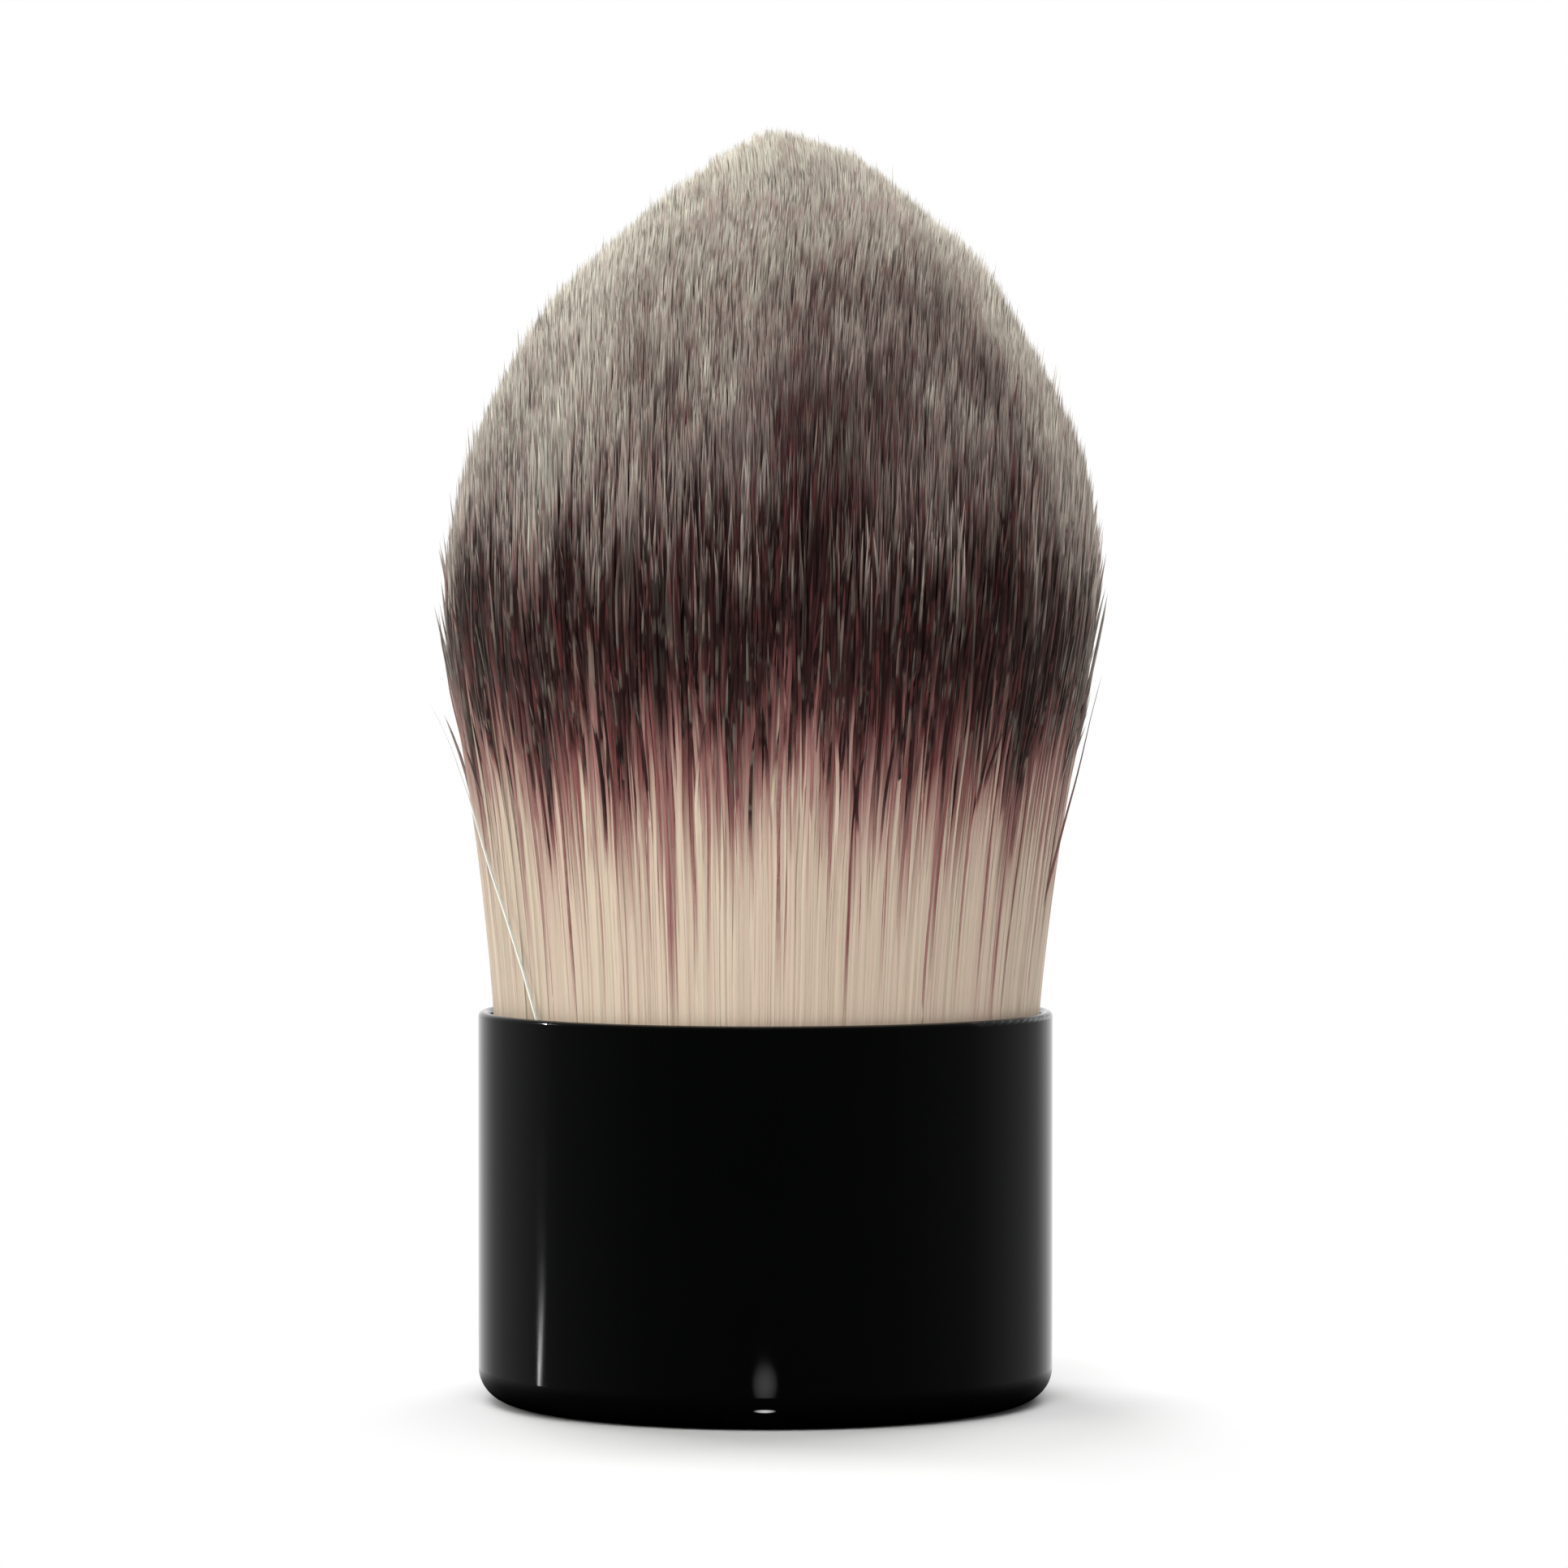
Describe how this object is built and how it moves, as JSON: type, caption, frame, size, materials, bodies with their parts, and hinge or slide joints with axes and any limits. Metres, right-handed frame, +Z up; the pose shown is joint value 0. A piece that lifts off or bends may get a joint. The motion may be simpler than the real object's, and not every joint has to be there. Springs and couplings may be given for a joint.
{
  "type": "kabuki makeup brush",
  "caption": "Short kabuki makeup brush: a gloss black cup handle that stands on its flat foot, and a dense pointed dome of three-tone filaments.",
  "frame": {"origin": "middle of the underside of the handle's foot, which is also the bottom centre of the bounding box", "axes": "+Z up the brush from the foot to the tip of the dome, along the axis of rotation; X and Y across the handle"},
  "size_m": [0.036, 0.036, 0.0682],
  "materials": {
    "black_lacquer": "high gloss black lacquer on drawn aluminium",
    "weight_steel": "plain stamped steel, hidden",
    "cup_plastic": "natural moulded plastic, hidden",
    "knot_glue": "cured amber glue, hidden",
    "tie_thread": "waxed cotton thread, hidden",
    "bristle_fibre": "fine dyed synthetic filament, cream at the rim, dark red-brown above it and pale grey-beige at the tips"
  },
  "bodies": {
    "root": {"handle_shell": "black_lacquer", "base_weight": "weight_steel", "knot_cup": "cup_plastic", "glue_bed": "knot_glue", "binding_thread": "tie_thread", "bristle_core": "bristle_fibre", "bristle_inner_ring": "bristle_fibre", "bristle_middle_ring": "bristle_fibre", "bristle_outer_ring": "bristle_fibre"}
  },
  "joints": []
}
